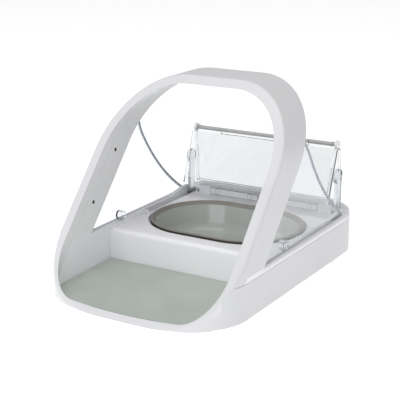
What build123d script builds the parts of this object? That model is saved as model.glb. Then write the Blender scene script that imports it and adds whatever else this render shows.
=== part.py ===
from build123d import *
import math
import os

# Automatic pet feeder: leaning hoop over a tray, bowl on a step, bi-fold clear lid.
# Frame: X to the right, Y to the back, Z up, origin at the middle of the footprint on the floor. mm.

# ---- driving dimensions -------------------------------------------------------------------------
FRONT, REAR = -163.9, 160.9         # front and rear of the plan; the leaning face trims the front a little
FRONT_BOW = 420.0         # the front of the plan is a gentle arc of this radius
HALF_FRONT = 106.9        # half width of the plan at its front corners, before rounding
HALF_REAR = 110.4         # half width at the rear
CORNER_FRONT = 55.0       # plan corner radius, front
CORNER_REAR = 40.0        # plan corner radius, rear
FOOT = 3.0                # foot height
PARTING = 41.4            # height of the seam between tub and deck
RAIL = 46.4               # height of the rails
PLATFORM = 43.0           # height of the step that holds the bowl
LEAN = 0.87               # hoop leans back this much per mm of height
FRONT_Y = -163.5          # where the leaning front face would meet the floor

HOOP_HALF = 107.6         # hoop outer half width
HOOP_TOP = 207.3          # hoop outer height
HOOP_R = 77.0             # hoop outer corner radius
HOLE_HALF = 96.5          # half width of the opening
HOLE_TOP = 198.8
HOLE_R = 66.7
HOOP_DEPTH = 50.0         # depth of the hoop's outer skin, front to back
LINER_DEPTH = 50.0        # depth of the hoop's lining
SEAM = 16.0               # front bezel wraps in this far
SKIN = 2.6                # wall of the mouldings

TRAY_FRONT = -158.3       # front of the tray floor
TRAY_BOW = 1000.0         # its front edge is bowed too, but less
TRAY_R = 39.0
TRAY_FLOOR = 5.4          # height of the tray floor at its front edge
TRAY_SLOPE = 0.0235       # the floor climbs this much per mm towards the step
MAT_T = 1.4
GROOVE = 0.45             # width of the shadow line between mouldings
HUMP_Y, HUMP_Z = 142.0, 51.2        # raised rear end of the deck
MOAT = 39.6               # height of the ledge that the bowl's flange sits over
STEP_Y = -39.0            # front face of the step
RIM_Z = 49.4              # top of the tray's side walls

BOWL_Y = 44.5             # bowl centre
BOWL_L, BOWL_W, BOWL_R = 173.0, 125.0, 60.5
RIM_LOW, RIM_MID, RIM_TOP = 39.9, 42.0, 45.4   # underside of the flange, its top, top of the seal
BOWL_DEPTH = 32.0

PIVOT_Y, PIVOT_Z = 128.0, 37.0      # lid arm pivot
RIDGE_Y, RIDGE_Z = 132.2, 122.9     # fold line of the lid, lid open
REAR_Y, REAR_Z = 136.6, 55.8        # free edge of the rear panel, lid open
FOLD_Y, FOLD_Z = 108.9, 59.2        # free edge of the front panel, lid open
LID_T = 1.8
LID_HALF = 92.6
FOLD_HALF = 91.9
ARM_IN, ARM_OUT = 92.6, 96.6        # arms swing in this slab
KNUCKLE_R, ROD_R = 2.1, 1.1
SLOT_IN, SLOT_OUT = 92.3, 97.4      # slots in the deck for the arms
SLOT_FRONT, SLOT_BACK, SLOT_FLOOR = 29.0, 137.0, 29.4
SHAFT_R = 2.5

WALL_Y = 129.4            # low wall behind the bowl
WALL_TOP = 53.0
WINDOW_X, WINDOW_T = 102.6, 1.8     # centre plane and thickness of the side windows
IR_POINTS = [(-25.9, 127.2), (-67.7, 79.6)]   # y, z of the infrared windows in the hoop
POSTS = [(101.7, -20.0), (101.7, 60.0)]       # screw posts under the rails
CELL_X, CELL_Z, CELL_R = (49.2, 75.3), 18.5, 12.9
CELL_BACK = 151.4         # rear end of the cells
BUTTON_X, BUTTON_Z = (-18.0, 0.0, 18.0), 28.0


# ---- helpers ------------------------------------------------------------------------------------
def box(x0, x1, y0, y1, z0, z1):
    b = Box(x1 - x0, y1 - y0, z1 - z0)
    return Pos((x0 + x1) / 2, (y0 + y1) / 2, (z0 + z1) / 2) * b


def rod_x(x0, x1, y, z, r):
    return Pos((x0 + x1) / 2, y, z) * Rot(0, 90, 0) * Cylinder(r, x1 - x0)


def rod_y(y0, y1, x, z, r):
    return Pos(x, (y0 + y1) / 2, z) * Rot(90, 0, 0) * Cylinder(r, y1 - y0)


def rod_z(z0, z1, x, y, r):
    return Pos(x, y, (z0 + z1) / 2) * Cylinder(r, z1 - z0)


def mirror_x(s):
    return mirror(s, about=Plane.YZ)


def pair(s):
    return s + mirror_x(s)


def bowed(front, radius, half, back_half, back):
    """Face with a bowed front edge, straight sides and a straight back."""
    end = front + radius - math.sqrt(radius ** 2 - half ** 2)
    wire = ThreePointArc((-half, end), (0, front), (half, end)) + Polyline(
        (half, end), (back_half, back), (-back_half, back), (-half, end))
    return make_face(wire)


def plan(inset, z0, z1):
    """Prism of the feeder's outline seen from above, set in from the outside."""
    face = bowed(FRONT + inset, FRONT_BOW - inset, HALF_FRONT - inset, HALF_REAR - inset, REAR - inset)
    sk = fillet([v for v in face.vertices() if v.Y < 0], CORNER_FRONT - inset)
    sk = fillet([v for v in sk.vertices() if v.Y > REAR - inset - 1], CORNER_REAR - inset)
    return Pos(0, 0, z0) * extrude(sk, z1 - z0)


def tray_plan(grow, z0, z1, back=200.0):
    """Prism of the tray outline: straight sides, bowed front, rounded front corners."""
    half = HOLE_HALF + grow
    face = bowed(TRAY_FRONT - grow, TRAY_BOW + grow, half, half, back)
    sk = fillet([v for v in face.vertices() if v.Y < -100], TRAY_R + grow)
    return Pos(0, 0, z0) * extrude(sk, z1 - z0)


def arch(half, top, r, y0=-175.0, y1=120.0, low=-5.0):
    """Prism along Y of a doorway outline with two rounded top corners."""
    face = make_face(Polyline((-half, low), (half, low), (half, top), (-half, top), close=True))
    sk = fillet([v for v in face.vertices() if v.Y > 0], r)
    return Pos(0, y1, 0) * Rot(90, 0, 0) * extrude(sk, y1 - y0)


def lean(k0, k1, z0=-5.0, z1=240.0, half=125.0):
    """Slab between two leaning planes, k mm behind the front face measured along Y."""
    y0, y1 = FRONT_Y + LEAN * z0, FRONT_Y + LEAN * z1
    face = make_face(Polyline((y0 + k0, z0), (y0 + k1, z0), (y1 + k1, z1), (y1 + k0, z1), close=True))
    return Pos(-half, 0, 0) * extrude(Plane.YZ * face, 2 * half)


def above_floor(lift):
    """Everything above the sloping tray floor, raised by lift."""
    z0 = TRAY_FLOOR + lift + TRAY_SLOPE * (-175.0 - TRAY_FRONT)
    z1 = TRAY_FLOOR + lift + TRAY_SLOPE * (-20.0 - TRAY_FRONT)
    face = make_face(Polyline((-175.0, z0), (-20.0, z1), (120.0, z1), (120.0, 240.0), (-175.0, 240.0), close=True))
    return Pos(-125.0, 0, 0) * extrude(Plane.YZ * face, 250.0)


def oval(length, width, r, z0, z1, y=BOWL_Y):
    return Pos(0, y, z0) * extrude(RectangleRounded(length, width, r), z1 - z0)


def blade(ya, za, yb, zb, t, x0, x1, skip_a=0.0, skip_b=0.0):
    """Flat plate standing on the line from a to b in the side view, spanning x0 to x1."""
    ln = math.hypot(yb - ya, zb - za)
    uy, uz = (yb - ya) / ln, (zb - za) / ln
    ny, nz = -uz * t / 2, uy * t / 2
    p = (ya + uy * skip_a, za + uz * skip_a)
    q = (yb - uy * skip_b, zb - uz * skip_b)
    face = make_face(Polyline((p[0] + ny, p[1] + nz), (q[0] + ny, q[1] + nz),
                              (q[0] - ny, q[1] - nz), (p[0] - ny, p[1] - nz), close=True))
    return Pos(x0, 0, 0) * extrude(Plane.YZ * face, x1 - x0)


# ---- hoop ---------------------------------------------------------------------------------------
def curl(x0, x1):
    """Thin blade along the inner seam where it curls forward and fades below the tray's rim."""
    line = [(SEAM, 50.0), (SEAM - 1.6, 47.5), (SEAM - 5.4, 44.0), (SEAM - 9.5, 39.5), (SEAM - 12.5, 34.0)]
    pts = [(FRONT_Y + LEAN * z + k, z) for k, z in line]
    face = make_face(Polyline(*pts, *[(y + GROOVE, z + 0.1) for y, z in reversed(pts)], close=True))
    return Pos(x0, 0, 0) * extrude(Plane.YZ * face, x1 - x0)


def hoop_shell():
    body = arch(HOOP_HALF, HOOP_TOP, HOOP_R, low=-15.0) & plan(0.0, -15.0, 230.0) & lean(0, 140, z0=-20.0)
    edge = [e for e in body.edges() if abs(e.center().Y - (FRONT_Y + LEAN * e.center().Z)) < 0.6]
    body = fillet(edge, 3.0)
    upper = body & lean(-1, HOOP_DEPTH) & box(-120, 120, -175, 120, RAIL, 230)
    lower = body & lean(-1, SEAM) & box(-120, 120, -175, 120, -14, RAIL)
    # the bottom edge comes down almost to the floor in the middle
    under = make_face(Polyline((-120, -20), (-120, FOOT), (-80, FOOT), (-36, 0.5), (36, 0.5), (80, FOOT),
                               (120, FOOT), (120, -20), close=True))
    s = upper + (lower - Rot(90, 0, 0) * extrude(under, 400.0, both=True))
    hole = arch(HOLE_HALF, HOLE_TOP, HOLE_R) & tray_plan(0.0, 2.0, 230.0) & above_floor(0.0)
    s = s - hole
    # the side parting line runs on a little way into the bezel, and the inner seam curls forward below the rim
    s = s - pair(box(103.2, 112.0, -125.0, -110.0, PARTING - GROOVE, PARTING))
    s = s - pair(curl(96.0, 97.3))
    # hollow behind the front wall: room for the antenna coil
    gap = arch(HOOP_HALF - 3.0, HOOP_TOP - 3.0, HOOP_R - 3.0) - arch(
        HOLE_HALF + 2.2, HOLE_TOP + 2.2, HOLE_R + 2.2)
    s = s - (gap & lean(4.0, 70.0) & box(-120, 120, -175, 120, RAIL - 0.5, 230))
    # inner skin ends at the seam, the lining carries on behind it
    inner = arch(HOLE_HALF + 2.3, HOLE_TOP + 2.3, HOLE_R + 2.3)
    s = s - (inner & lean(SEAM, 70.0) & box(-120, 120, -175, 120, RAIL - 0.5, 230))
    return s


def hoop_liner():
    ring = arch(HOLE_HALF + 2.2, HOLE_TOP + 2.2, HOLE_R + 2.2) - arch(HOLE_HALF, HOLE_TOP, HOLE_R)
    back = arch(HOOP_HALF - 3.0, HOOP_TOP - 3.0, HOOP_R - 3.0) - arch(HOLE_HALF, HOLE_TOP, HOLE_R)
    s = (ring & lean(SEAM + GROOVE, LINER_DEPTH)) + (back & lean(LINER_DEPTH - 2.4, LINER_DEPTH))
    s = s & box(-120, 120, -175, 120, RIM_Z, 230)
    for y, z in IR_POINTS:
        s = s - pair(rod_x(HOLE_HALF - 2, HOLE_HALF + 4, y, z, 1.8))
    return s


def antenna_coil():
    ring = arch(HOOP_HALF - 4.4, HOOP_TOP - 4.4, HOOP_R - 4.4) - arch(
        HOLE_HALF + 3.4, HOLE_TOP + 3.4, HOLE_R + 3.4)
    return ring & lean(31.5, 43.5) & box(-120, 120, -175, 120, RIM_Z + 2, 230)


def ir_parts(side):
    s = None
    for y, z in IR_POINTS:
        p = rod_x(HOLE_HALF + 0.15, HOLE_HALF + 2.2, y, z, 1.72) + rod_x(
            HOLE_HALF + 2.2, HOLE_HALF + 5.0, y, z, 2.4)
        s = p if s is None else s + p
    return s if side > 0 else mirror_x(s)


# ---- base ---------------------------------------------------------------------------------------
def lower_tub():
    behind = lean(SEAM, 700.0)
    s = plan(0.0, FOOT, PARTING - GROOVE) & behind
    bottom = [e for e in s.edges() if abs(e.center().Z - FOOT) < 0.01 and e.center().Y > -140]
    s = fillet(bottom, 2.4)
    s = s - plan(SKIN, FOOT + 3.0, PARTING + 1)
    # rebate for the deck's tongue
    s = s - plan(1.3, PARTING - 3.4, PARTING + 1)
    # the tray is its own floor
    s = s - (tray_plan(2.6, FOOT - 1, 60.0) & box(-120, 120, -175, STEP_Y + 0.2, 0, 60))
    # battery openings in the floor, with a slideway for each door
    for side in (-1, 1):
        for a, b, y, z0, z1 in ((37.4, 88.6, 101.0, FOOT - 1, FOOT + 4), (36.0, 90.0, 74.0, FOOT - 1, FOOT + 2),
                                (34.4, 91.6, 74.0, FOOT + 0.9, FOOT + 2)):
            x0, x1 = sorted((side * a, side * b))
            s = s - box(x0, x1, y, 151.4, z0, z1)
    for x, y in POSTS:
        s = s - pair(rod_z(FOOT - 1, FOOT + 5, x, y, 1.7)) - pair(rod_z(FOOT - 1, FOOT + 1.7, x, y, 3.4))
    # button opening in the rear wall
    s = s - box(-31.0, 31.0, 155.0, 165.0, 20.0, 38.0)
    return s


def tray():
    out = tray_plan(2.2, FOOT, RIM_Z) & box(-120, 120, -175, STEP_Y, 0, 60)
    s = (out - (tray_plan(0.0, 2.0, 60.0) & above_floor(0.0))) & lean(SEAM, 700.0)
    # lightened from below behind the front feet
    s = s - (box(-74.0, 74.0, -100.0, STEP_Y - 3.0, 0, 20) - above_floor(-2.2))
    for k in (-36.0, 0.0, 36.0):
        s = s + (box(k - 1, k + 1, -100.5, STEP_Y - 2.5, FOOT, 20) - above_floor(-2.0))
    # behind the hoop the side walls are only as high as the rails
    return s - box(-120, 120, -71.5, 0.0, RAIL, 60)


def mat():
    s = tray_plan(-0.9, 2.0, 20.0) & box(-120, 120, -175, STEP_Y - 0.5, 0, 60) & above_floor(0.0)
    s = s - above_floor(MAT_T)
    top = s.faces().sort_by(Axis.Z)[-1]
    return fillet(top.edges(), 0.5)


def deck():
    square = plan(0.0, PARTING, RAIL)
    brow = [e for e in square.edges() if abs(e.center().Z - RAIL) < 0.01]
    soft = fillet(brow, 3.0)
    s = (square & lean(SEAM, HOOP_DEPTH)) + (soft & lean(HOOP_DEPTH, 700.0))
    hump = plan(0.0, PARTING, HUMP_Z) & box(-120, 120, HUMP_Y, 170, 0, 60)
    hump = fillet([e for e in hump.edges() if abs(e.center().Z - HUMP_Z) < 0.01], 4.4)
    s = s + hump
    s = s - plan(SKIN, PARTING - 1, RAIL - 2.5)
    s = s - (plan(SKIN + 0.4, PARTING - 1, HUMP_Z - 2.6) & box(-96.0, 96.0, HUMP_Y + 2.6, 170, 0, 60))
    # tongue that drops behind the tub's wall and closes the shadow line
    s = s + ((plan(1.5, PARTING - 2.2, PARTING + 0.6) - plan(SKIN, PARTING - 4, PARTING + 2)) & lean(SEAM + 3.0, 700.0))
    # tray opening in front of the step, bowl well behind it
    s = s - tray_plan(2.2, PARTING - 1, RAIL + 1, back=STEP_Y)
    s = s - box(-92.6, 92.6, STEP_Y - 1, WALL_Y + 3.0, PARTING - 1, RAIL + 1)
    step = box(-HOLE_HALF, HOLE_HALF, STEP_Y, STEP_Y + 2.4, FOOT + 3.2, PLATFORM)
    plate = box(-94.0, 94.0, STEP_Y, WALL_Y + 3.0, PLATFORM - 2.4, PLATFORM)
    ledge = oval(BOWL_L + 8, BOWL_W + 8, BOWL_R + 4, PLATFORM - 5.6, PLATFORM - 2.0)
    s = s + step + plate + ledge
    s = s + pair(box(92.6, 95.0, STEP_Y, SLOT_FRONT, PLATFORM - 2.4, RAIL))
    nose = [e for e in s.edges() if abs(e.center().Y - STEP_Y) < 0.05 and abs(e.center().Z - PLATFORM) < 0.05
            and e.length > 150]
    s = fillet(nose, 4.6)
    # low wall behind the bowl, with a slot in its middle
    s = s + box(-85.0, 85.0, WALL_Y, WALL_Y + 3.6, PLATFORM - 2.4, WALL_TOP)
    s = s - box(-2.6, 2.6, WALL_Y - 1, WALL_Y + 2.0, PLATFORM + 2.4, WALL_TOP - 1.6)
    # pockets that the lid arms drop into
    pocket = box(SLOT_IN - 1.4, SLOT_OUT + 1.4, SLOT_FRONT - 1.4, SLOT_BACK + 1.4, SLOT_FLOOR - 1.4, RAIL)
    s = s + pair(pocket)
    s = s - pair(box(SLOT_IN, SLOT_OUT, SLOT_FRONT, SLOT_BACK, SLOT_FLOOR, RAIL + 1))
    s = s - pair(box(85.2, SLOT_IN + 0.5, SLOT_FRONT, SLOT_BACK, PLATFORM, RAIL + 1))
    # seats for the shaft bushes in the pocket walls
    s = s - pair(rod_x(SLOT_IN - 3, SLOT_IN + 0.2, PIVOT_Y, PIVOT_Z, 3.4))
    # bowl hole with a moat round it
    s = s - oval(BOWL_L - 9, BOWL_W - 9, BOWL_R - 4.5, PLATFORM - 8, PLATFORM + 1)
    s = s - oval(BOWL_L + 4.4, BOWL_W + 4.4, BOWL_R + 2.2, MOAT, PLATFORM + 1)
    # grooves for the windows
    s = s - pair(box(WINDOW_X - 1.0, WINDOW_X + 1.0, -75.0, 124.2, RAIL - 1.4, RAIL + 1))
    for x, y in POSTS:
        s = s + pair(rod_z(FOOT + 3.0, RAIL - 2.0, x, y, 3.6)) - pair(rod_z(FOOT, FOOT + 14, x, y, 1.5))
    return s


def hinge_cover():
    """Rounded cover on the rail outside the arm's slot, right hand."""
    face = make_face(Polyline((91.0, RAIL), (127.0, RAIL), (125.4, 53.0), (113.0, 51.8), (96.0, 49.0), close=True))
    tops = [v for v in face.vertices() if v.Y > RAIL + 1]
    sk = fillet([v for v in tops if v.X > 120], 2.2)
    sk = fillet([v for v in sk.vertices() if abs(v.X - 96.0) < 0.1], 3.0)
    return Pos(SLOT_OUT + 0.2, 0, 0) * extrude(Plane.YZ * sk, 3.9)


def wall_plates():
    s = None
    for side in (-1, 1):
        x0, x1 = sorted((side * 5.0, side * 69.0))
        p = box(x0, x1, WALL_Y - 1.0, WALL_Y, PLATFORM + 1.0, WALL_TOP - 1.4)
        for cx in (side * 16.0, side * 59.5):
            ring = rod_y(WALL_Y - 1.5, WALL_Y - 0.8, cx, 47.8, 3.4) - rod_y(WALL_Y - 2, WALL_Y, cx, 47.8, 2.6)
            p = p + ring
        s = p if s is None else s + p
    return s


def window():
    """Right-hand side window: follows the hoop's section, hollow-ground rear edge, round boss inside."""
    shell = arch(WINDOW_X + 0.9, HOOP_TOP - 3.5, HOOP_R - 3.5) - arch(
        WINDOW_X - 0.9, HOOP_TOP - 5.3, HOOP_R - 5.3)
    z0 = RAIL - 1.3
    front = FRONT_Y + LINER_DEPTH + 0.2
    top_z = 150.0
    a = (front + LEAN * z0, z0)
    b = (front + LEAN * top_z, top_z)
    c = (front + LEAN * top_z + 8.0, top_z)
    d = (124.0, 48.2)
    e = (124.0, z0)
    wire = Polyline(a, b, c) + ThreePointArc(c, (67.7, 92.0), d) + Polyline(d, e, a)
    side = Pos(50, 0, 0) * extrude(Plane.YZ * make_face(wire), 70)
    s = shell & side
    s = s + rod_x(94.8, WINDOW_X - 0.5, -16.0, RAIL + 5.0, 4.9)
    return s - rod_x(94.0, 100.0, -16.0, RAIL + 5.0, 3.7)


# ---- bowl ---------------------------------------------------------------------------------------
def funnel(inset_low, inset_high, z_low, z_high):
    """Solid with the bowl's outline, narrowing from inset_high at the top to inset_low at the bottom."""
    a, b = [Pos(0, BOWL_Y, z) * RectangleRounded(BOWL_L - 2 * d, BOWL_W - 2 * d, BOWL_R - d)
            for d, z in ((inset_low, z_low), (inset_high, z_high))]
    return loft([a, b])


def bowl():
    z_low = PLATFORM - BOWL_DEPTH
    outer = funnel(13.4, 5.1, z_low, RIM_LOW + 0.1)
    outer = fillet([e for e in outer.edges() if abs(e.center().Z - z_low) < 0.01], 17.0)
    inner = funnel(15.6, 6.8, z_low + 2.2, RIM_MID + 0.6)
    inner = fillet([e for e in inner.edges() if abs(e.center().Z - z_low - 2.2) < 0.01], 16.0)
    flange = oval(BOWL_L - 4, BOWL_W - 4, BOWL_R - 2, RIM_LOW, RIM_MID)
    return outer + flange - inner


def bowl_seal():
    s = oval(BOWL_L, BOWL_W, BOWL_R, RIM_LOW + 0.4, RIM_TOP)
    s = s - oval(BOWL_L - 4, BOWL_W - 4, BOWL_R - 2, RIM_LOW, RIM_MID)
    s = s - funnel(6.6, 3.0, RIM_MID - 0.1, RIM_TOP)
    top = s.faces().sort_by(Axis.Z)[-1]
    return fillet(top.edges(), 0.9)


# ---- lid ----------------------------------------------------------------------------------------
def panel(end_y, end_z, half, turn, inner_zone, hole, own_inner):
    """Clear lid panel hanging from the ridge: plate, side flanges and its share of the knuckles."""
    ln = math.hypot(end_y - RIDGE_Y, end_z - RIDGE_Z)
    uy, uz = (end_y - RIDGE_Y) / ln, (end_z - RIDGE_Z) / ln
    ny, nz = -turn * uz, turn * uy
    s = blade(RIDGE_Y, RIDGE_Z, end_y, end_z, LID_T, -half, half)
    rim = 4.6
    oy, oz = ny * rim / 2, nz * rim / 2
    side = blade(RIDGE_Y + oy, RIDGE_Z + oz, end_y + oy, end_z + oz, rim + LID_T, half - 1.8, half, skip_a=6.0)
    s = s + pair(side)
    z = inner_zone
    if own_inner:
        clear = pair(rod_x(z, half + 6, RIDGE_Y, RIDGE_Z, 5.4))
        tubes = rod_x(-z, z, RIDGE_Y, RIDGE_Z, KNUCKLE_R)
    else:
        # the rear panel also carries a stiffening lip along its free edge
        s = s + blade(end_y - uy * 0.9, end_z - uz * 0.9, end_y - uy * 0.9 + ny * 3.4, end_z - uz * 0.9 + nz * 3.4,
                      1.8, -half, half)
        clear = rod_x(-z, z, RIDGE_Y, RIDGE_Z, 5.4)
        tubes = pair(rod_x(z, 88.0, RIDGE_Y, RIDGE_Z, KNUCKLE_R))
        tubes = tubes + pair(rod_x(84.6, 87.8, RIDGE_Y, RIDGE_Z, 2.6))
    s = s - clear + tubes
    # round heads of the ridge pin turn inside these notches
    s = s - pair(rod_x(88.0, half + 8, RIDGE_Y, RIDGE_Z, 4.9))
    return s - rod_x(-half - 8, half + 8, RIDGE_Y, RIDGE_Z, hole)


def rear_panel():
    return panel(REAR_Y, REAR_Z, LID_HALF, 1, 56.4, ROD_R, False)


def front_panel():
    return panel(FOLD_Y, FOLD_Z, FOLD_HALF, -1, 56.0, ROD_R + 0.08, True)


def ridge_rod():
    head = fillet(rod_x(88.3, 92.5, RIDGE_Y, RIDGE_Z, 4.5).edges(), 0.7)
    return rod_x(-90.0, 90.0, RIDGE_Y, RIDGE_Z, ROD_R) + pair(head)


def arm():
    """Right-hand lid arm: hub on the shaft, neck up to the middle of the rear panel."""
    t = ARM_OUT - ARM_IN
    tip_y, tip_z = 127.4, 88.0
    s = rod_x(ARM_IN, ARM_OUT, PIVOT_Y, PIVOT_Z, 7.0) + rod_x(ARM_IN, ARM_OUT, tip_y, tip_z, 8.2)
    s = s + blade(PIVOT_Y - 0.6, PIVOT_Z, tip_y + 1.2, tip_z, 10.0, ARM_IN, ARM_OUT)
    s = s - rod_x(ARM_IN - 1, ARM_OUT + 1, PIVOT_Y, PIVOT_Z, SHAFT_R)
    s = s + rod_x(ARM_OUT - 0.2, ARM_OUT + 0.4, tip_y, tip_z, 2.2)
    return s


def drive_shaft():
    return rod_x(-ARM_OUT, ARM_OUT, PIVOT_Y, PIVOT_Z, SHAFT_R)


def bush():
    s = rod_x(SLOT_IN - 2.2, SLOT_IN, PIVOT_Y, PIVOT_Z, 3.4)
    return s - rod_x(SLOT_IN - 4, SLOT_IN + 1, PIVOT_Y, PIVOT_Z, SHAFT_R + 0.05)


# ---- drive and electronics ----------------------------------------------------------------------
def gear_housing():
    s = box(-12.0, 12.0, 115.0, 143.0, 9.0, 40.2)
    s = fillet(s.edges().filter_by(Axis.X), 2.0)
    return s - rod_x(-14, 14, PIVOT_Y, PIVOT_Z, SHAFT_R + 0.06)


def motor():
    return rod_x(12.0, 31.0, 130.0, 21.5, 10.5) + rod_x(31.0, 33.0, 130.0, 21.5, 3.5)


def position_cam():
    s = rod_x(-20.0, -16.0, PIVOT_Y, PIVOT_Z, 3.5) + blade(
        PIVOT_Y, PIVOT_Z, PIVOT_Y - 7.0, PIVOT_Z - 7.0, 4.0, -20.0, -16.0)
    return s - rod_x(-22, -14, PIVOT_Y, PIVOT_Z, SHAFT_R)


def limit_switch():
    s = box(-21.0, -15.0, 119.0, 131.0, 16.0, 23.0)
    return s + box(-19.5, -16.5, 120.0, 122.0, 23.0, 24.2)


def control_board():
    return box(-32.0, 32.0, 146.4, 148.0, 8.0, 40.0)


def board_parts():
    s = None
    for x in BUTTON_X:
        p = box(x - 3, x + 3, 148.0, 149.6, BUTTON_Z - 3, BUTTON_Z + 3) + rod_y(149.5, 150.2, x, BUTTON_Z, 1.6)
        s = p if s is None else s + p
    return s + box(-28, -20, 145.2, 146.4, 12, 20) + box(18, 28, 144.6, 146.4, 12, 18)


def button_panel():
    s = box(-33.0, 33.0, 156.7, 158.2, 18.0, 40.0) + box(-30.8, 30.8, 158.2, 159.4, 20.2, 37.8)
    for x in BUTTON_X:
        s = s - rod_y(150, 165, x, BUTTON_Z, 4.8)
    return s - rod_y(150, 165, 9.0, 34.8, 1.4)


def button(x):
    return (rod_y(156.0, 160.5, x, BUTTON_Z, 4.4) + rod_y(155.2, 156.3, x, BUTTON_Z, 5.6)
            + rod_y(152.0, 155.4, x, BUTTON_Z, 2.0))


def status_light():
    return rod_y(156.7, 159.6, 9.0, 34.8, 1.4) + rod_y(155.2, 156.7, 9.0, 34.8, 2.0)


# ---- batteries ----------------------------------------------------------------------------------
def battery_box():
    s = box(34.8, 89.5, 99.4, 154.0, FOOT + 3, 32.8) - box(36.1, 88.4, 100.6, 153.0, FOOT, 31.6)
    return pair(s) & plan(SKIN + 0.1, 0.0, 60.0)


def cell(x):
    y0, y1 = CELL_BACK - 49.0, CELL_BACK
    return rod_y(y0, y1 - 1.2, x, CELL_Z, CELL_R) + rod_y(y1 - 1.4, y1, x, CELL_Z, 3.6)


def contacts():
    s = None
    for x in CELL_X:
        p = box(x - 8, x + 8, 100.6, 101.0, CELL_Z - 8, CELL_Z + 8) + rod_y(100.9, CELL_BACK - 49.0, x, CELL_Z, 5.0)
        q = box(x - 8, x + 8, CELL_BACK, 153.0, CELL_Z - 8, CELL_Z + 8)
        s = p + q if s is None else s + p + q
    return pair(s)


def battery_door(side):
    s = box(36.4, 89.6, 99.0, 151.0, FOOT + 0.2, FOOT + 1.7)
    s = s + box(34.8, 91.2, 99.0, 151.0, FOOT + 1.1, FOOT + 1.7)
    for k in range(4):
        s = s - box(52, 74, 142 - 3 * k, 143.4 - 3 * k, FOOT, FOOT + 0.9)
    return s if side > 0 else mirror_x(s)


def rubber_feet():
    s = None
    for x, y, r in ((80.0, -112.0, 7.0), (99.6, 96.0, 5.0), (24.0, 148.0, 7.0)):
        p = pair(rod_z(0.0, FOOT, x, y, r))
        s = p if s is None else s + p
    return s


def screws():
    s = None
    for x, y in POSTS:
        p = rod_z(FOOT + 0.2, FOOT + 1.7, x, y, 3.0) + rod_z(FOOT + 1.6, FOOT + 13, x, y, 1.5)
        p = p - rod_z(FOOT, FOOT + 0.9, x, y, 1.2)
        p = pair(p)
        s = p if s is None else s + p
    return s


# ---- all nodes ----------------------------------------------------------------------------------
NODES = {
    "hoop_shell": hoop_shell(),
    "hoop_liner": hoop_liner(),
    "antenna_coil": antenna_coil(),
    "ir_emitters": ir_parts(1),
    "ir_receivers": ir_parts(-1),
    "lower_tub": lower_tub(),
    "tray": tray(),
    "mat": mat(),
    "deck": deck(),
    "hinge_cover_right": hinge_cover(),
    "hinge_cover_left": mirror_x(hinge_cover()),
    "wall_plates": wall_plates(),
    "window_right": window(),
    "window_left": mirror_x(window()),
    "bowl": bowl(),
    "bowl_seal": bowl_seal(),
    "rear_panel": rear_panel(),
    "front_panel": front_panel(),
    "ridge_rod": ridge_rod(),
    "arm_right": arm(),
    "arm_left": mirror_x(arm()),
    "drive_shaft": drive_shaft(),
    "bush_right": bush(),
    "bush_left": mirror_x(bush()),
    "gear_housing": gear_housing(),
    "motor": motor(),
    "position_cam": position_cam(),
    "limit_switch": limit_switch(),
    "control_board": control_board(),
    "board_parts": board_parts(),
    "button_panel": button_panel(),
    "button_add": button(BUTTON_X[0]),
    "button_open": button(BUTTON_X[1]),
    "button_train": button(BUTTON_X[2]),
    "status_light": status_light(),
    "battery_box": battery_box(),
    "cell_1": cell(-CELL_X[1]),
    "cell_2": cell(-CELL_X[0]),
    "cell_3": cell(CELL_X[0]),
    "cell_4": cell(CELL_X[1]),
    "battery_contacts": contacts(),
    "battery_door_right": battery_door(1),
    "battery_door_left": battery_door(-1),
    "rubber_feet": rubber_feet(),
    "screws": screws(),
}

os.makedirs("parts", exist_ok=True)
for name, shape in NODES.items():
    solids = shape.solids()
    export_step(solids[0] if len(solids) == 1 else Compound(children=list(solids)), "parts/" + name + ".step")
    print(name, len(solids), round(shape.volume))
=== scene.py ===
"""Automatic pet feeder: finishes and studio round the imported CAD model. Metres, row frame."""
import math

import bmesh
import bpy
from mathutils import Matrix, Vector


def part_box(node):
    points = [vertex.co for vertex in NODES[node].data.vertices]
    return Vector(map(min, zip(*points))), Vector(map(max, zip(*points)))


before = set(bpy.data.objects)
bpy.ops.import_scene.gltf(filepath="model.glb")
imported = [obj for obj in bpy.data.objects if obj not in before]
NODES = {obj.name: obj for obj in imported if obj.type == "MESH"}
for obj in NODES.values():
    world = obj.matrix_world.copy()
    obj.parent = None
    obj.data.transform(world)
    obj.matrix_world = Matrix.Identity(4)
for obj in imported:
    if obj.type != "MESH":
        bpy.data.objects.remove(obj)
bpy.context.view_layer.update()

# ---- sizes that the finishes follow -------------------------------------------------------------
HOLE_HALF, HOLE_TOP, HOLE_R = 0.0965, 0.1988, 0.0667    # opening in the hoop: half width, top, corners
HOLE_REACH = 0.2                    # half the height of its outline, which ends underground
LEAN, FRONT_Y = 0.87, -0.1635       # the hoop's front face is y = FRONT_Y + LEAN * z
BEHIND_FRONT = 0.0008               # how far behind it the inner wall begins
TRAY_BLEND = 0.026                  # height round which the lighter inner wall fades in
IR_POINTS = ((-0.0259, 0.1272), (-0.0677, 0.0796))      # y, z of the infrared windows
IR_RING = 0.0020                    # radius of the dark ring round each
SEAL_CORNER = 0.0605                # corner radius of the seal, seen from above
SEAL_CROWN = 0.0007                 # height of its lit top
PLATE_GAP = 0.005                   # half the gap between the two wall plates
PLATE_LINE = 0.00045                # width of their outline
CAP_X, CAP_R, CAP_LINE = (0.016, 0.0595), 0.003, 0.00025    # screw caps on the wall plates
ARC_Y, ARC_Z, ARC_R = 0.25346, 0.27269, 0.25914         # arc of the windows' hollow rear edge
ARC_SHADE_WIDTH = 0.0030                  # width of the painted edge shade along it
KNUCKLE_R = 0.0027                  # hinge knuckles along the ridge


# ---- shader helpers -----------------------------------------------------------------------------
def shader(m):
    """The material's main shader."""
    return m.node_tree.nodes["Principled BSDF"]


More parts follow.
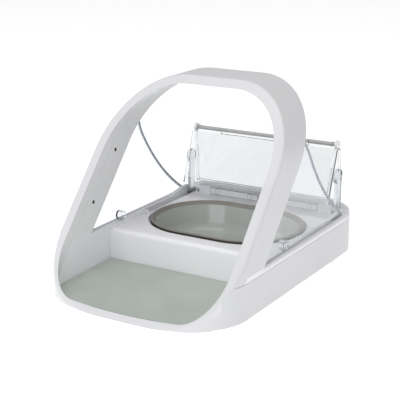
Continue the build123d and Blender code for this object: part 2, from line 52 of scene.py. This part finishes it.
def new_material(name, color, roughness, metallic=0.0, coat=0.0, transmission=0.0, ior=1.46, subsurface=0.0):
    m = bpy.data.materials.new(name)
    m.use_nodes = True
    b = shader(m)
    b.inputs["Base Color"].default_value = (*color, 1.0)
    b.inputs["Roughness"].default_value = roughness
    b.inputs["Metallic"].default_value = metallic
    b.inputs["Coat Weight"].default_value = coat
    b.inputs["Coat Roughness"].default_value = 0.12
    b.inputs["Transmission Weight"].default_value = transmission
    b.inputs["IOR"].default_value = ior
    b.inputs["Subsurface Weight"].default_value = subsurface
    b.inputs["Subsurface Scale"].default_value = 0.002
    return m, b


def node(m, kind, **values):
    """New node, with sockets or settings given by name."""
    n = m.node_tree.nodes.new(kind)
    for k, v in values.items():
        if k in n.inputs:
            n.inputs[k].default_value = v
        else:
            setattr(n, k, v)
    return n


def link(m, a, b):
    m.node_tree.links.new(a, b)


def noise(m, scale, detail=3.0, rough=0.5):
    tex = node(m, "ShaderNodeTexCoord")
    n = node(m, "ShaderNodeTexNoise", Scale=scale, Detail=detail, Roughness=rough)
    link(m, tex.outputs["Object"], n.inputs["Vector"])
    return n


def ramp(m, source, low, high):
    """Colour that runs from low to high over the middle of the source's range."""
    r = node(m, "ShaderNodeValToRGB")
    for element, position, color in zip(r.color_ramp.elements, (0.3, 0.7), (low, high)):
        element.position = position
        element.color = (*color, 1.0)
    link(m, source, r.inputs["Fac"])
    return r


def spread(m, source, low, high):
    """Number that runs from low to high with the source."""
    r = node(m, "ShaderNodeMapRange")
    r.inputs["To Min"].default_value = low
    r.inputs["To Max"].default_value = high
    link(m, source, r.inputs["Value"])
    return r


def bump(m, b, source, distance):
    n = node(m, "ShaderNodeBump", Strength=0.6, Distance=distance)
    link(m, source, n.inputs["Height"])
    link(m, n.outputs["Normal"], b.inputs["Normal"])


class Field:
    """A number that varies over a surface: a shader socket that arithmetic works on."""

    def __init__(self, material, socket):
        self.material = material
        self.socket = socket

    def __add__(self, other):
        return calc("ADD", self, other)

    def __sub__(self, other):
        return calc("SUBTRACT", self, other)

    def __rsub__(self, other):
        return calc("SUBTRACT", other, self)

    def __mul__(self, other):
        return calc("MULTIPLY", self, other)

    def __abs__(self):
        return calc("ABSOLUTE", self)


def calc(kind, *values):
    """Math node on fields and numbers."""
    m = next(v.material for v in values if isinstance(v, Field))
    n = node(m, "ShaderNodeMath", operation=kind)
    for socket, value in zip(n.inputs, values):
        if isinstance(value, Field):
            link(m, value.socket, socket)
        else:
            socket.default_value = value
    return Field(m, n.outputs[0])


def axes(m):
    """x, y, z of the shaded point in the model's own frame."""
    tex = node(m, "ShaderNodeTexCoord")
    split = node(m, "ShaderNodeSeparateXYZ")
    link(m, tex.outputs["Object"], split.inputs["Vector"])
    return [Field(m, socket) for socket in split.outputs]


def length(a, b):
    return calc("SQRT", a * a + b * b)


def rounded(a, b, half_a, half_b, r):
    """Signed distance to a rounded rectangle centred on a = b = 0: negative inside, and no less than -r."""
    past_a = calc("MAXIMUM", abs(a) - (half_a - r), 0.0)
    past_b = calc("MAXIMUM", abs(b) - (half_b - r), 0.0)
    return length(past_a, past_b) - r


def below(value, limit, soft=0.0001):
    """1 where value is under limit, 0 over it, with a short ramp between."""
    r = node(value.material, "ShaderNodeMapRange")
    r.inputs["From Min"].default_value = limit - soft
    r.inputs["From Max"].default_value = limit + soft
    r.inputs["To Min"].default_value = 1.0
    r.inputs["To Max"].default_value = 0.0
    link(value.material, value.socket, r.inputs["Value"])
    return Field(value.material, r.outputs["Result"])


def tint(mask, color):
    """Lays a colour over the base colour where mask is 1."""
    m = mask.material
    base = shader(m).inputs["Base Color"]
    mix = node(m, "ShaderNodeMix", data_type="RGBA")
    under, over = [i for i in mix.inputs if i.type == "RGBA"]
    if base.links:
        link(m, base.links[0].from_socket, under)
    else:
        under.default_value = base.default_value
    over.default_value = (*color, 1.0)
    link(m, mask.socket, next(i for i in mix.inputs if i.type == "VALUE"))
    link(m, next(o for o in mix.outputs if o.type == "RGBA"), base)


def frost(mask, share, rough):
    """Lets less light through, and scatters it, where mask is 1."""
    m = mask.material
    clearness = 1.0 - mask * share
    link(m, clearness.socket, shader(m).inputs["Transmission Weight"])
    roughness = shader(m).inputs["Roughness"]
    polish = Field(m, roughness.links[0].from_socket)
    link(m, calc("MAXIMUM", polish, mask * rough).socket, roughness)


# ---- recipes ------------------------------------------------------------------------------------
def moulded(name, low, high, rough, grain=900.0, depth=0.00001, blotch=14.0, coat=0.0, subsurface=0.0):
    """Moulded plastic: faint flow tone, spark-eroded grain, uneven polish."""
    m, b = new_material(name, high, sum(rough) / 2, coat=coat, subsurface=subsurface)
    tone = noise(m, blotch, 2.0)
    link(m, ramp(m, tone.outputs["Fac"], low, high).outputs["Color"], b.inputs["Base Color"])
    polish = noise(m, 60.0, 4.0)
    link(m, spread(m, polish.outputs["Fac"], *rough).outputs["Result"], b.inputs["Roughness"])
    bump(m, b, noise(m, grain, 2.0, 0.6).outputs["Fac"], depth)
    return m


def clear(name, color, body, density, rough=(0.01, 0.04), ior=1.5):
    """Clear moulded plastic: faint haze, and a body colour that gathers along the sheet."""
    m, b = new_material(name, color, sum(rough) / 2, transmission=1.0, ior=ior)
    haze = noise(m, 40.0, 3.0)
    link(m, spread(m, haze.outputs["Fac"], *rough).outputs["Result"], b.inputs["Roughness"])
    v = node(m, "ShaderNodeVolumeAbsorption", Density=density)
    v.inputs["Color"].default_value = (*body, 1.0)
    link(m, v.outputs["Volume"], m.node_tree.nodes["Material Output"].inputs["Volume"])
    return m


def metal(name, low, high, rough, stretch=(1.0, 60.0, 60.0)):
    """Bare metal with drawing marks, stretched along one axis."""
    m, b = new_material(name, high, rough, metallic=1.0)
    tex = node(m, "ShaderNodeTexCoord")
    mapping = node(m, "ShaderNodeMapping")
    mapping.inputs["Scale"].default_value = stretch
    n = node(m, "ShaderNodeTexNoise", Scale=30.0, Detail=4.0)
    link(m, tex.outputs["Object"], mapping.inputs["Vector"])
    link(m, mapping.outputs["Vector"], n.inputs["Vector"])
    link(m, ramp(m, n.outputs["Fac"], low, high).outputs["Color"], b.inputs["Base Color"])
    link(m, spread(m, n.outputs["Fac"], rough - 0.06, rough + 0.1).outputs["Result"], b.inputs["Roughness"])
    return m


# ---- finishes of single parts -------------------------------------------------------------------
WHITE_TONES = ((0.69, 0.69, 0.71), (0.72, 0.72, 0.735))


def hoop_plastic():
    """The outer white, lighter on the inner wall of the opening, which the lining carries on."""
    m = moulded("white_abs_hoop", *WHITE_TONES, (0.26, 0.36), subsurface=0.04)
    x, y, z = axes(m)
    outline = rounded(x, z - (HOLE_TOP - HOLE_REACH), HOLE_HALF, HOLE_REACH, HOLE_R)
    wall = below(outline, 0.0006, 0.0003) * below(z * LEAN - y, -FRONT_Y - BEHIND_FRONT, 0.0003)
    tint(wall * (1.0 - below(z, TRAY_BLEND, 0.012)), (0.86, 0.86, 0.875))
    return m


def lining_plastic():
    """Satin white, with a dark ring round each infrared window."""
    m = moulded("white_abs_liner", (0.86, 0.86, 0.875), (0.89, 0.89, 0.90), (0.34, 0.46), subsurface=0.04)
    x, y, z = axes(m)
    near = [length(y - point_y, z - point_z) for point_y, point_z in IR_POINTS]
    tint(below(calc("MINIMUM", *near), IR_RING), (0.012, 0.012, 0.013))
    return m


def seal_silicone():
    """Taupe silicone. The skirt of the seal lies in shadow in its channel."""
    m = moulded("seal_silicone", (0.235, 0.215, 0.195), (0.285, 0.262, 0.24), (0.38, 0.5), grain=1500.0,
                depth=0.00001)
    low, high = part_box("bowl_seal")
    x, y, z = axes(m)
    outline = rounded(x, y - (low[1] + high[1]) / 2, high[0], (high[1] - low[1]) / 2, SEAL_CORNER)
    skirt = below(outline * -1.0, 0.0003)
    tint(skirt * below(z, high[2] - SEAL_CROWN, 0.0004), (0.045, 0.04, 0.037))
    return m


def plate_plastic():
    """White, with a shadow line round each cover plate and round each screw cap."""
    m = moulded("white_abs_plates", (0.90, 0.90, 0.915), (0.93, 0.93, 0.94), (0.3, 0.4), subsurface=0.04)
    low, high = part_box("wall_plates")
    x, y, z = axes(m)
    side = abs(x)
    rise = z - (low[2] + high[2]) / 2
    along = (high[0] - PLATE_GAP) / 2 - abs(side - (high[0] + PLATE_GAP) / 2)
    across = (high[2] - low[2]) / 2 - abs(rise)
    tint(below(calc("MINIMUM", along, across), PLATE_LINE), (0.24, 0.25, 0.28))
    for cap_x in CAP_X:
        ring = abs(length(side - cap_x, rise) - CAP_R)
        tint(below(ring, CAP_LINE), (0.45, 0.45, 0.47))
    return m


def window_plastic():
    """Clear, with a painted grey-blue shade along the hollow rear edge, where the sheet is also made less
    clear and rougher.
    """
    m = clear("clear_window_pc", (0.985, 0.99, 1.0), (0.70, 0.78, 0.87), 60.0)
    x, y, z = axes(m)
    edge = below(length(y - ARC_Y, z - ARC_Z) - ARC_R, ARC_SHADE_WIDTH, 0.0008)
    # painted shade: a grey-blue line along the sheet's hollow rear edge
    tint(edge, (0.43, 0.48, 0.56))
    frost(edge, 0.6, 0.3)
    return m


def lid_plastic():
    """Clear, with frosted hinge knuckles along the ridge."""
    m = clear("clear_lid_pc", (0.905, 0.91, 0.912), (0.74, 0.79, 0.84), 40.0, (0.02, 0.06))
    low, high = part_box("ridge_rod")
    x, y, z = axes(m)
    knuckle = below(length(y - (low[1] + high[1]) / 2, z - (low[2] + high[2]) / 2), KNUCKLE_R, 0.0003)
    tint(knuckle, (0.56, 0.565, 0.57))
    frost(knuckle, 0.8, 0.35)
    return m


def pin_plastic():
    """Clear plastic with a frosted skin: most of the light is scattered."""
    m = clear("clear_pin_pc", (0.93, 0.935, 0.935), (0.9, 0.92, 0.93), 10.0, (0.3, 0.4))
    shader(m).inputs["Transmission Weight"].default_value = 0.15
    return m


# ---- every finish -------------------------------------------------------------------------------
WHITE = moulded("white_abs", *WHITE_TONES, (0.26, 0.36), subsurface=0.04)
WHITE_INNER = moulded("white_abs_inner", (0.88, 0.88, 0.905), (0.91, 0.91, 0.93), (0.28, 0.38),
                      subsurface=0.04)
WHITE_PART = moulded("white_acetal", (0.82, 0.82, 0.83), (0.86, 0.86, 0.87), (0.28, 0.38), subsurface=0.06)
MAT = moulded("mat_silicone", (0.43, 0.465, 0.425), (0.475, 0.515, 0.47), (0.52, 0.68), grain=1500.0,
              depth=0.00003, blotch=30.0)
BOWL = moulded("bowl_melamine", (0.45, 0.475, 0.45), (0.49, 0.515, 0.485), (0.06, 0.12), grain=300.0,
               depth=0.000002, coat=0.6)
CLEAR_ARM = clear("clear_arm_pc", (0.91, 0.92, 0.93), (0.74, 0.78, 0.82), 60.0, (0.22, 0.34), 1.35)
CLEAR_WINDOW = window_plastic()
CLEAR_LID = lid_plastic()
STEEL = metal("drawn_steel", (0.42, 0.43, 0.45), (0.62, 0.63, 0.65), 0.28)
BRONZE = metal("sintered_bronze", (0.42, 0.26, 0.12), (0.62, 0.42, 0.22), 0.4)
NICKEL = metal("nickel_spring", (0.55, 0.54, 0.5), (0.75, 0.73, 0.68), 0.25)
NYLON = moulded("grey_nylon", (0.17, 0.175, 0.18), (0.22, 0.225, 0.23), (0.42, 0.56))
BLACK = moulded("black_moulding", (0.012, 0.012, 0.013), (0.022, 0.022, 0.024), (0.3, 0.45))
BOARD = moulded("solder_mask", (0.01, 0.07, 0.03), (0.015, 0.11, 0.045), (0.25, 0.35), blotch=200.0)
COPPER = metal("enamelled_copper", (0.32, 0.12, 0.04), (0.55, 0.24, 0.09), 0.3, (60.0, 1.0, 1.0))
PANEL = moulded("panel_grey_abs", (0.44, 0.45, 0.46), (0.49, 0.50, 0.51), (0.38, 0.5))
BUTTON = moulded("button_abs", (0.74, 0.74, 0.74), (0.79, 0.79, 0.79), (0.3, 0.42))
LIGHT = moulded("light_pipe", (0.2, 0.5, 0.22), (0.3, 0.62, 0.3), (0.15, 0.25))
CELL = moulded("cell_jacket", (0.02, 0.022, 0.026), (0.035, 0.037, 0.042), (0.22, 0.32), blotch=60.0)
FOOT = moulded("foot_rubber", (0.02, 0.02, 0.02), (0.035, 0.035, 0.035), (0.6, 0.8), grain=2200.0,
               depth=0.00004)

FINISH = {
    "hoop_shell": hoop_plastic(), "hoop_liner": lining_plastic(), "antenna_coil": COPPER,
    "ir_emitters": BLACK, "ir_receivers": BLACK, "lower_tub": WHITE, "tray": WHITE_INNER, "mat": MAT,
    "deck": WHITE_INNER, "hinge_cover_right": WHITE_PART, "hinge_cover_left": WHITE_PART,
    "wall_plates": plate_plastic(), "window_right": CLEAR_WINDOW, "window_left": CLEAR_WINDOW,
    "bowl": BOWL, "bowl_seal": seal_silicone(), "rear_panel": CLEAR_LID, "front_panel": CLEAR_LID,
    "ridge_rod": pin_plastic(), "arm_right": CLEAR_ARM, "arm_left": CLEAR_ARM, "drive_shaft": STEEL,
    "bush_right": BRONZE, "bush_left": BRONZE, "gear_housing": NYLON, "motor": STEEL,
    "position_cam": NYLON, "limit_switch": BLACK, "control_board": BOARD, "board_parts": BLACK,
    "button_panel": PANEL, "button_add": BUTTON, "button_open": BUTTON, "button_train": BUTTON,
    "status_light": LIGHT, "battery_box": NYLON, "cell_1": CELL, "cell_2": CELL, "cell_3": CELL,
    "cell_4": CELL, "battery_contacts": NICKEL, "battery_door_right": WHITE,
    "battery_door_left": WHITE, "rubber_feet": FOOT, "screws": STEEL,
}
for name, obj in NODES.items():
    for slot in obj.material_slots:
        slot.material = FINISH[name]

# soft moulded edges on the shells
EDGE_WIDTH = {
    "hinge_cover_right": 0.0008, "hinge_cover_left": 0.0008, "hoop_liner": 0.0006, "deck": 0.0006,
    "arm_right": 0.0006, "arm_left": 0.0006, "hoop_shell": 0.0005, "lower_tub": 0.0005, "tray": 0.0005,
    "bowl": 0.0004, "window_right": 0.0003, "window_left": 0.0003, "rear_panel": 0.0003,
    "front_panel": 0.0003, "wall_plates": 0.0003,
}
for name, width in EDGE_WIDTH.items():
    bevel = NODES[name].modifiers.new("edge", "BEVEL")
    bevel.width = width
    bevel.segments = 2
    bevel.limit_method = "ANGLE"
    bevel.angle_limit = math.radians(35)


# ---- studio -------------------------------------------------------------------------------------
def add(name, data):
    """New object in the scene."""
    o = bpy.data.objects.new(name, data)
    bpy.context.scene.collection.objects.link(o)
    return o


def point(o, place, aim):
    """Stands a light or camera at place, looking at aim."""
    o.location = place
    o.rotation_euler = (Vector(aim) - o.location).to_track_quat("-Z", "Y").to_euler()


def area(name, place, aim, size, power, color=(1, 1, 1)):
    """Softbox: size in metres, power in watts."""
    light = bpy.data.lights.new(name, "AREA")
    light.shape = "RECTANGLE"
    light.size, light.size_y = size
    light.energy = power
    light.color = color
    point(add(name, light), place, aim)


def pale_floor():
    """Plain pale sheet under the feeder, which gives back some light of its own."""
    mesh = bpy.data.meshes.new("floor")
    bm = bmesh.new()
    bmesh.ops.create_grid(bm, x_segments=1, y_segments=1, size=40.0)
    bm.to_mesh(mesh)
    bm.free()
    paper = moulded("floor_paper", (0.87, 0.87, 0.875), (0.89, 0.89, 0.89), (0.85, 0.95), grain=200.0)
    shader(paper).inputs["Emission Color"].default_value = (1.0, 1.0, 1.0, 1.0)
    shader(paper).inputs["Emission Strength"].default_value = 0.50
    mesh.materials.append(paper)
    return add("floor", mesh)


def white_world():
    """Even white surroundings."""
    world = bpy.data.worlds.new("studio")
    world.use_nodes = True
    background = world.node_tree.nodes["Background"]
    background.inputs["Color"].default_value = (1.0, 1.0, 1.0, 1.0)
    background.inputs["Strength"].default_value = 0.50
    return world


def camera():
    """From the front right, above the hoop."""
    cam = bpy.data.cameras.new("camera")
    cam.sensor_fit = "HORIZONTAL"
    cam.sensor_width = 36.0
    cam.lens = 95.87
    o = add("camera", cam)
    point(o, (0.5432, -0.9284, 0.3987), (-0.0030, -0.0072, 0.0805))
    return o


floor = pale_floor()
area("key", (0.1, -1.7, 0.75), (0, -0.02, 0.08), (1.4, 1.0), 7, (0.96, 0.975, 1.0))
area("top", (0.0, -0.2, 1.6), (0, 0, 0.08), (1.4, 1.4), 8)
area("left", (-1.4, -0.9, 0.9), (0, 0, 0.08), (1.0, 1.0), 3)
bpy.context.scene.world = white_world()
bpy.context.scene.camera = camera()
bpy.context.scene.view_settings.view_transform = "Standard"
